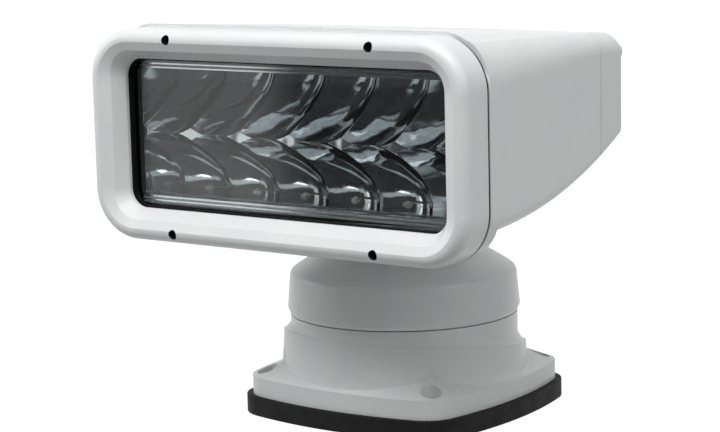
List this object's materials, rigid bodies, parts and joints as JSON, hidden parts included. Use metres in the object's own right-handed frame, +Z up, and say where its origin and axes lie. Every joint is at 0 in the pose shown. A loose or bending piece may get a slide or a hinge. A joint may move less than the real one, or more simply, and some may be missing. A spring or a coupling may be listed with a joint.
{
  "type": "marine searchlight",
  "caption": "White deck searchlight: a wide lamp head with mirror cups behind glass, tilting on a neck over a turret that pans on a square-footed base with a rubber pad.",
  "frame": {"origin": "on the pan axis at the underside of the rubber pad, in the middle of the bolt pattern", "axes": "Z is up along the pan axis, the lens faces -Y, X runs along the tilt axis and the head's width"},
  "size_m": [0.2384, 0.1915, 0.2143],
  "materials": {
    "white_shell": "smooth white moulded shell, semi-gloss",
    "black_rubber": "matte black rubber",
    "clear_glass": "clear flat glass",
    "mirror_cups": "bright metallised reflector",
    "bare_aluminium": "plain milled aluminium",
    "stainless_steel": "stainless steel",
    "bearing_brass": "turned bearing brass",
    "gear_plastic": "natural low-friction plastic",
    "black_plastic": "matte black plastic",
    "circuit_board": "green circuit board",
    "white_board": "white-faced metal-core board",
    "emitter": "yellow phosphor emitter",
    "motor_can": "dark motor can"
  },
  "bodies": {
    "base": {"base_shell": "white_shell", "mounting_pad": "black_rubber", "bottom_plate": "bare_aluminium", "bottom_screws": "stainless_steel", "cable_gland": "black_plastic", "control_board": "circuit_board", "pan_bush": "bearing_brass", "thrust_washer": "gear_plastic", "pan_gear": "gear_plastic"},
    "turret": {"turret_shell": "white_shell", "turret_seal": "black_rubber", "chassis_plate": "bare_aluminium", "chassis_screws": "stainless_steel", "pan_shaft": "stainless_steel", "pan_nut": "stainless_steel", "pan_motor": "motor_can", "tilt_motor": "motor_can", "tilt_bracket": "bare_aluminium", "neck": "white_shell", "neck_screws": "stainless_steel", "tilt_bushes": "bearing_brass", "tilt_washers": "gear_plastic", "idler_pin": "stainless_steel"},
    "pan_pinion": {"pan_pinion": "gear_plastic"},
    "tilt_idler": {"tilt_idler": "gear_plastic"},
    "tilt_pinion": {"tilt_pinion": "gear_plastic"},
    "head": {"bezel": "white_shell", "bezel_screws": "stainless_steel", "lens_seal": "black_rubber", "lens": "clear_glass", "housing_gasket": "black_rubber", "main_housing": "white_shell", "rear_cover": "white_shell", "rear_screws": "stainless_steel", "vent_plug": "white_shell", "reflector_array": "mirror_cups", "led_boards": "white_board", "led_emitters": "emitter", "heat_sink": "bare_aluminium", "driver_board": "circuit_board", "tilt_shaft": "stainless_steel", "tilt_gear": "gear_plastic", "tilt_caps": "black_plastic"}
  },
  "joints": [
    {"name": "pan", "type": "hinge", "parent": "base", "child": "turret", "pos_m": [0, 0, 0.05], "axis": [0, 0, 1], "range_deg": [-185, 185]},
    {"name": "tilt", "type": "hinge", "parent": "turret", "child": "head", "pos_m": [0, 0, 0.111], "axis": [-1, 0, 0], "range_deg": [-30, 65]},
    {"name": "pan_pinion_spin", "type": "hinge", "parent": "turret", "child": "pan_pinion", "pos_m": [0, 0.03375, 0.055], "axis": [0, 0, 1], "range_deg": [-530, 530]},
    {"name": "tilt_idler_spin", "type": "hinge", "parent": "turret", "child": "tilt_idler", "pos_m": [0, 0, 0.0885], "axis": [-1, 0, 0], "range_deg": [-82, 38]},
    {"name": "tilt_pinion_spin", "type": "hinge", "parent": "turret", "child": "tilt_pinion", "pos_m": [0, 0, 0.071], "axis": [-1, 0, 0], "range_deg": [-51, 109]}
  ],
  "couplings": [
    {"joint": "pan_pinion_spin", "follows": "pan", "ratio": 2.8571},
    {"joint": "tilt_idler_spin", "follows": "tilt", "ratio": -1.25},
    {"joint": "tilt_pinion_spin", "follows": "tilt", "ratio": 1.6667}
  ]
}
